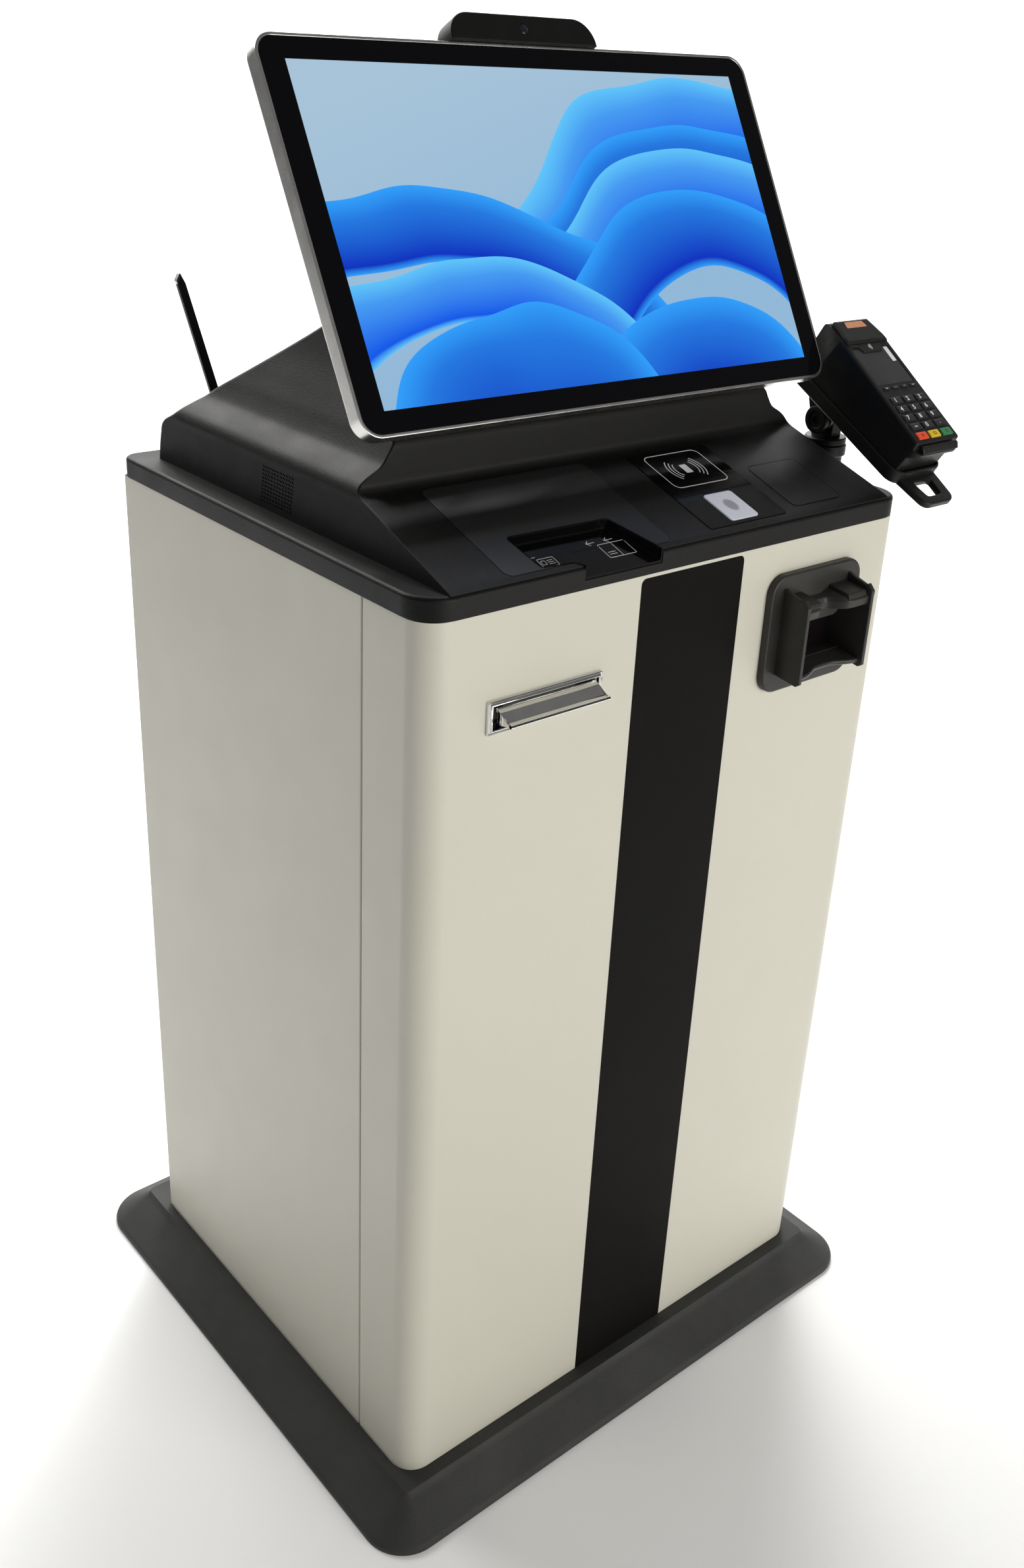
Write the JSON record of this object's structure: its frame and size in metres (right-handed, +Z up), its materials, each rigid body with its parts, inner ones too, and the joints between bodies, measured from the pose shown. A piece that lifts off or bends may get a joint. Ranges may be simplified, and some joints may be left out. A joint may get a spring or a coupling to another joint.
{
  "type": "self-service kiosk",
  "caption": "Floor-standing self-service kiosk with a sloped console, tilting touch monitor, document tray, readers, receipt slot and payment terminal.",
  "frame": {"origin": "on the floor under the middle of the cabinet, in the plane of the plinth's flat underside", "axes": "+Z up; the front, with the console and screen, faces -Y; +X is to the right seen from the front, the side of the payment terminal"},
  "size_m": [0.744, 0.664, 1.4664],
  "materials": {
    "body_paint": "satin off-white powder coat on sheet steel",
    "stripe_black": "satin black strip",
    "plinth_grey": "dark grey textured coat",
    "deck_black": "fine-grained black moulding",
    "inlay_grey": "smooth dark grey sheet",
    "gloss_black": "polished black",
    "platen_white": "lit white sensor window",
    "chrome": "bright plated",
    "bezel_grey": "dark grey moulded plastic",
    "aluminium": "satin anodised with a bright rim",
    "touch_glass": "black-printed cover glass over a lit display",
    "steel": "plain zinc-plated steel",
    "terminal_black": "black moulded plastic and black coat",
    "key_black": "black rubber-feel key",
    "key_red": "red key",
    "key_yellow": "yellow key",
    "key_green": "green key",
    "paper": "matt thermal paper",
    "device_grey": "dark grey device housing"
  },
  "bodies": {
    "cabinet": {"base_plinth": "plinth_grey", "cabinet_frame": "steel", "side_panel_left": "body_paint", "side_panel_right": "body_paint", "front_shell": "body_paint", "front_stripe": "stripe_black", "hinge_rod": "steel", "deck_hood": "deck_black", "document_inlay": "inlay_grey", "document_tray": "gloss_black", "contactless_panel": "gloss_black", "fingerprint_panel": "gloss_black", "finger_platen": "platen_white", "blank_cover": "deck_black", "slot_frame": "chrome", "scanner_bezel": "bezel_grey", "scanner_window": "gloss_black", "tilt_bracket": "steel", "pole_bracket": "terminal_black", "terminal_pole": "terminal_black", "computer": "device_grey", "receipt_printer": "deck_black", "mains_inlet": "gloss_black"},
    "rear_door": {"rear_door": "body_paint"},
    "door_lock": {"door_lock": "chrome"},
    "slot_flap": {"slot_flap": "chrome"},
    "monitor": {"monitor_frame": "aluminium", "touch_glass": "touch_glass", "display_panel": "device_grey", "monitor_back": "deck_black", "camera_housing": "deck_black", "camera_lens": "gloss_black"},
    "antenna_base": {"antenna_base": "terminal_black"},
    "antenna_whip": {"antenna_whip": "terminal_black"},
    "swivel_head": {"swivel_head": "terminal_black"},
    "tilt_knob": {"tilt_knob": "terminal_black"},
    "terminal": {"cradle": "terminal_black", "terminal_body": "terminal_black", "terminal_screen": "gloss_black"},
    "key_1": {"key_1": "key_black"},
    "key_2": {"key_2": "key_black"},
    "key_3": {"key_3": "key_black"},
    "key_4": {"key_4": "key_black"},
    "key_5": {"key_5": "key_black"},
    "key_6": {"key_6": "key_black"},
    "key_7": {"key_7": "key_black"},
    "key_8": {"key_8": "key_black"},
    "key_9": {"key_9": "key_black"},
    "key_0": {"key_0": "key_black"},
    "key_function": {"key_function": "key_black"},
    "key_dot": {"key_dot": "key_black"},
    "key_cancel": {"key_cancel": "key_red"},
    "key_clear": {"key_clear": "key_yellow"},
    "key_enter": {"key_enter": "key_green"},
    "soft_key_1": {"soft_key_1": "key_black"},
    "soft_key_2": {"soft_key_2": "key_black"},
    "soft_key_3": {"soft_key_3": "key_black"},
    "soft_key_4": {"soft_key_4": "key_black"},
    "paper_roll": {"paper_roll": "paper"},
    "mains_rocker": {"mains_rocker": "key_black"}
  },
  "joints": [
    {"name": "rear_door_hinge", "type": "hinge", "parent": "cabinet", "child": "rear_door", "pos_m": [0.285, 0.27, 0.5], "axis": [0, 0, -1], "range_deg": [0, 110]},
    {"name": "lock_turn", "type": "hinge", "parent": "rear_door", "child": "door_lock", "pos_m": [-0.262, 0.25, 0.56], "axis": [0, -1, 0], "range_deg": [0, 90]},
    {"name": "slot_flap_hinge", "type": "hinge", "parent": "cabinet", "child": "slot_flap", "pos_m": [-0.1768, -0.2666, 0.9255], "axis": [1, 0, 0], "range_deg": [0, 30], "stiffness_Nm_per_rad": 0.1, "springref_deg": -11.46},
    {"name": "monitor_tilt", "type": "hinge", "parent": "cabinet", "child": "monitor", "pos_m": [0, -0.025, 1.252], "axis": [-1, 0, 0], "range_deg": [-3, 10]},
    {"name": "antenna_roll", "type": "hinge", "parent": "cabinet", "child": "antenna_base", "pos_m": [-0.197, 0.2415, 1.06], "axis": [0, 1, 0], "range_deg": [-70, 100]},
    {"name": "antenna_fold", "type": "hinge", "parent": "antenna_base", "child": "antenna_whip", "pos_m": [-0.197, 0.2515, 1.06], "axis": [-0.9583, 0, -0.2857], "range_deg": [0, 90]},
    {"name": "terminal_swivel", "type": "hinge", "parent": "cabinet", "child": "swivel_head", "pos_m": [0.338, -0.128, 1.06], "axis": [0, 0, 1], "range_deg": [-5, 45]},
    {"name": "terminal_tilt", "type": "hinge", "parent": "swivel_head", "child": "terminal", "pos_m": [0.338, -0.128, 1.085], "axis": [1, 0, 0], "range_deg": [-15, 3]},
    {"name": "tilt_knob_turn", "type": "hinge", "parent": "swivel_head", "child": "tilt_knob", "pos_m": [0.32, -0.128, 1.085], "axis": [-1, 0, 0], "range_deg": [-90, 180]},
    {"name": "key_1_press", "type": "slide", "parent": "terminal", "child": "key_1", "axis": [0, 0.5948, -0.8039], "range_m": [0, 0.0012], "stiffness_N_per_m": 400, "springref_m": -0.0005},
    {"name": "key_2_press", "type": "slide", "parent": "terminal", "child": "key_2", "axis": [0, 0.5948, -0.8039], "range_m": [0, 0.0012], "stiffness_N_per_m": 400, "springref_m": -0.0005},
    {"name": "key_3_press", "type": "slide", "parent": "terminal", "child": "key_3", "axis": [0, 0.5948, -0.8039], "range_m": [0, 0.0012], "stiffness_N_per_m": 400, "springref_m": -0.0005},
    {"name": "key_4_press", "type": "slide", "parent": "terminal", "child": "key_4", "axis": [0, 0.5948, -0.8039], "range_m": [0, 0.0012], "stiffness_N_per_m": 400, "springref_m": -0.0005},
    {"name": "key_5_press", "type": "slide", "parent": "terminal", "child": "key_5", "axis": [0, 0.5948, -0.8039], "range_m": [0, 0.0012], "stiffness_N_per_m": 400, "springref_m": -0.0005},
    {"name": "key_6_press", "type": "slide", "parent": "terminal", "child": "key_6", "axis": [0, 0.5948, -0.8039], "range_m": [0, 0.0012], "stiffness_N_per_m": 400, "springref_m": -0.0005},
    {"name": "key_7_press", "type": "slide", "parent": "terminal", "child": "key_7", "axis": [0, 0.5948, -0.8039], "range_m": [0, 0.0012], "stiffness_N_per_m": 400, "springref_m": -0.0005},
    {"name": "key_8_press", "type": "slide", "parent": "terminal", "child": "key_8", "axis": [0, 0.5948, -0.8039], "range_m": [0, 0.0012], "stiffness_N_per_m": 400, "springref_m": -0.0005},
    {"name": "key_9_press", "type": "slide", "parent": "terminal", "child": "key_9", "axis": [0, 0.5948, -0.8039], "range_m": [0, 0.0012], "stiffness_N_per_m": 400, "springref_m": -0.0005},
    {"name": "key_0_press", "type": "slide", "parent": "terminal", "child": "key_0", "axis": [0, 0.5948, -0.8039], "range_m": [0, 0.0012], "stiffness_N_per_m": 400, "springref_m": -0.0005},
    {"name": "key_function_press", "type": "slide", "parent": "terminal", "child": "key_function", "axis": [0, 0.5948, -0.8039], "range_m": [0, 0.0012], "stiffness_N_per_m": 400, "springref_m": -0.0005},
    {"name": "key_dot_press", "type": "slide", "parent": "terminal", "child": "key_dot", "axis": [0, 0.5948, -0.8039], "range_m": [0, 0.0012], "stiffness_N_per_m": 400, "springref_m": -0.0005},
    {"name": "key_cancel_press", "type": "slide", "parent": "terminal", "child": "key_cancel", "axis": [0, 0.5948, -0.8039], "range_m": [0, 0.0012], "stiffness_N_per_m": 400, "springref_m": -0.0005},
    {"name": "key_clear_press", "type": "slide", "parent": "terminal", "child": "key_clear", "axis": [0, 0.5948, -0.8039], "range_m": [0, 0.0012], "stiffness_N_per_m": 400, "springref_m": -0.0005},
    {"name": "key_enter_press", "type": "slide", "parent": "terminal", "child": "key_enter", "axis": [0, 0.5948, -0.8039], "range_m": [0, 0.0012], "stiffness_N_per_m": 400, "springref_m": -0.0005},
    {"name": "soft_key_1_press", "type": "slide", "parent": "terminal", "child": "soft_key_1", "axis": [0, 0.5948, -0.8039], "range_m": [0, 0.0012], "stiffness_N_per_m": 400, "springref_m": -0.0005},
    {"name": "soft_key_2_press", "type": "slide", "parent": "terminal", "child": "soft_key_2", "axis": [0, 0.5948, -0.8039], "range_m": [0, 0.0012], "stiffness_N_per_m": 400, "springref_m": -0.0005},
    {"name": "soft_key_3_press", "type": "slide", "parent": "terminal", "child": "soft_key_3", "axis": [0, 0.5948, -0.8039], "range_m": [0, 0.0012], "stiffness_N_per_m": 400, "springref_m": -0.0005},
    {"name": "soft_key_4_press", "type": "slide", "parent": "terminal", "child": "soft_key_4", "axis": [0, 0.5948, -0.8039], "range_m": [0, 0.0012], "stiffness_N_per_m": 400, "springref_m": -0.0005},
    {"name": "paper_roll_spin", "type": "hinge", "parent": "cabinet", "child": "paper_roll", "pos_m": [-0.1768, -0.06, 0.895], "axis": [1, 0, 0], "continuous": true},
    {"name": "mains_rocker_press", "type": "hinge", "parent": "cabinet", "child": "mains_rocker", "pos_m": [0.307, 0.15, 0.1325], "axis": [0, -1, 0], "range_deg": [0, 8]}
  ]
}
